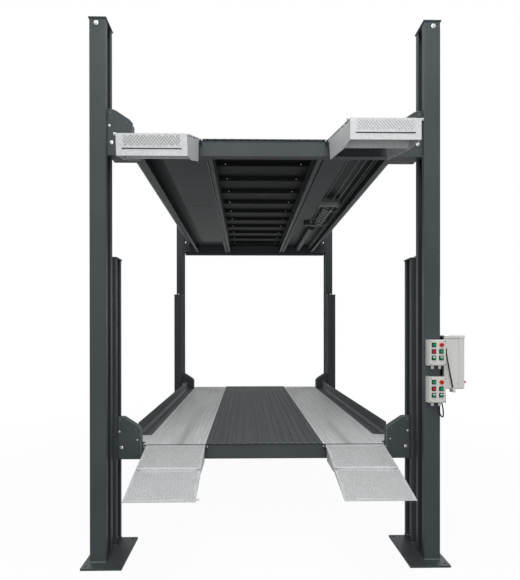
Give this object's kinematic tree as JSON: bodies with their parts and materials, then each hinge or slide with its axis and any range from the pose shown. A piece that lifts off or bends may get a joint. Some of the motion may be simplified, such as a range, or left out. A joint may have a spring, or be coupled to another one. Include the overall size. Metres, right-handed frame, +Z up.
{
  "type": "triple stacker parking lift",
  "caption": "Open four-corner parking lift with tall and short channel columns, two raised car platforms with folding ramps, and a push-button control station.",
  "frame": {"origin": "on the floor, at the centre of the four outermost anchor holes, midway between the four pairs of columns", "axes": "+Z up; +Y along the lift, from the entrance with the ramps to the rear; +X to the right of a driver who drives in"},
  "size_m": [3.206, 5.92, 4.516],
  "materials": {
    "anthracite_paint": "satin powder coat",
    "black_paint": "satin",
    "galvanised_steel": "galvanised",
    "bright_steel": "zinc plated",
    "wire_rope": "greased",
    "light_grey_enclosure": "satin",
    "push_button": "gloss",
    "black_cable": "matte",
    "red_switch": "gloss"
  },
  "bodies": {
    "frame": {"base_plates": "anthracite_paint", "front_left_tall_column": "anthracite_paint", "front_right_tall_column": "anthracite_paint", "rear_left_tall_column": "anthracite_paint", "rear_right_tall_column": "anthracite_paint", "front_left_short_column": "anthracite_paint", "front_right_short_column": "anthracite_paint", "rear_left_short_column": "anthracite_paint", "rear_right_short_column": "anthracite_paint", "column_caps": "anthracite_paint", "rope_anchors": "bright_steel", "upper_control_box": "light_grey_enclosure", "lower_control_box": "light_grey_enclosure", "push_buttons": "push_button", "switch_cabinet": "light_grey_enclosure", "cabinet_cover": "light_grey_enclosure", "cabinet_bracket": "black_paint", "main_switch": "red_switch", "cable_duct": "anthracite_paint", "upper_control_lead": "black_cable", "lower_control_lead": "black_cable"},
    "upper_platform": {"upper_crossbeams": "anthracite_paint", "upper_carriages": "anthracite_paint", "upper_left_runway": "galvanised_steel", "upper_right_runway": "galvanised_steel", "upper_rails": "anthracite_paint", "upper_centre_deck": "anthracite_paint", "upper_lift_cylinder": "bright_steel", "upper_rope_guide": "bright_steel", "upper_rope_runs": "wire_rope", "upper_column_ropes": "wire_rope"},
    "lower_platform": {"lower_crossbeams": "anthracite_paint", "lower_carriages": "anthracite_paint", "lower_left_runway": "galvanised_steel", "lower_right_runway": "galvanised_steel", "lower_rails": "anthracite_paint", "lower_centre_deck": "anthracite_paint", "lower_lift_cylinder": "bright_steel", "lower_rope_guide": "bright_steel", "lower_rope_runs": "wire_rope", "lower_column_ropes": "wire_rope"},
    "upper_left_ramp": {"upper_left_ramp": "galvanised_steel"},
    "upper_right_ramp": {"upper_right_ramp": "galvanised_steel"},
    "lower_left_ramp": {"lower_left_ramp": "galvanised_steel"},
    "lower_right_ramp": {"lower_right_ramp": "galvanised_steel"},
    "lower_left_tip": {"lower_left_ramp_tip": "galvanised_steel"},
    "lower_right_tip": {"lower_right_ramp_tip": "galvanised_steel"}
  },
  "joints": [
    {"name": "upper_lift", "type": "slide", "parent": "frame", "child": "upper_platform", "axis": [0, 0, 1], "range_m": [-2.15, 0.45], "deforming": ["upper_column_ropes"]},
    {"name": "lower_lift", "type": "slide", "parent": "frame", "child": "lower_platform", "axis": [0, 0, 1], "range_m": [-0.742, 1.25], "deforming": ["lower_column_ropes"]},
    {"name": "upper_left_ramp_hinge", "type": "hinge", "parent": "upper_platform", "child": "upper_left_ramp", "pos_m": [-0.789, -2.476, 3.514], "axis": [-1, 0, 0], "range_deg": [0, 109]},
    {"name": "upper_right_ramp_hinge", "type": "hinge", "parent": "upper_platform", "child": "upper_right_ramp", "pos_m": [0.7575, -2.476, 3.514], "axis": [-1, 0, 0], "range_deg": [0, 102]},
    {"name": "lower_left_ramp_hinge", "type": "hinge", "parent": "lower_platform", "child": "lower_left_ramp", "pos_m": [-0.7946, -2.18, 0.887], "axis": [-1, 0, 0], "range_deg": [0, 101]},
    {"name": "lower_right_ramp_hinge", "type": "hinge", "parent": "lower_platform", "child": "lower_right_ramp", "pos_m": [0.8127, -2.18, 0.887], "axis": [-1, 0, 0], "range_deg": [0, 101]},
    {"name": "lower_left_tip_hinge", "type": "hinge", "parent": "lower_left_ramp", "child": "lower_left_tip", "pos_m": [-0.7946, -2.60136, 0.81409], "axis": [-1, 0, 0], "range_deg": [0, 150]},
    {"name": "lower_right_tip_hinge", "type": "hinge", "parent": "lower_right_ramp", "child": "lower_right_tip", "pos_m": [0.8127, -2.60155, 0.8152], "axis": [-1, 0, 0], "range_deg": [0, 150]}
  ]
}
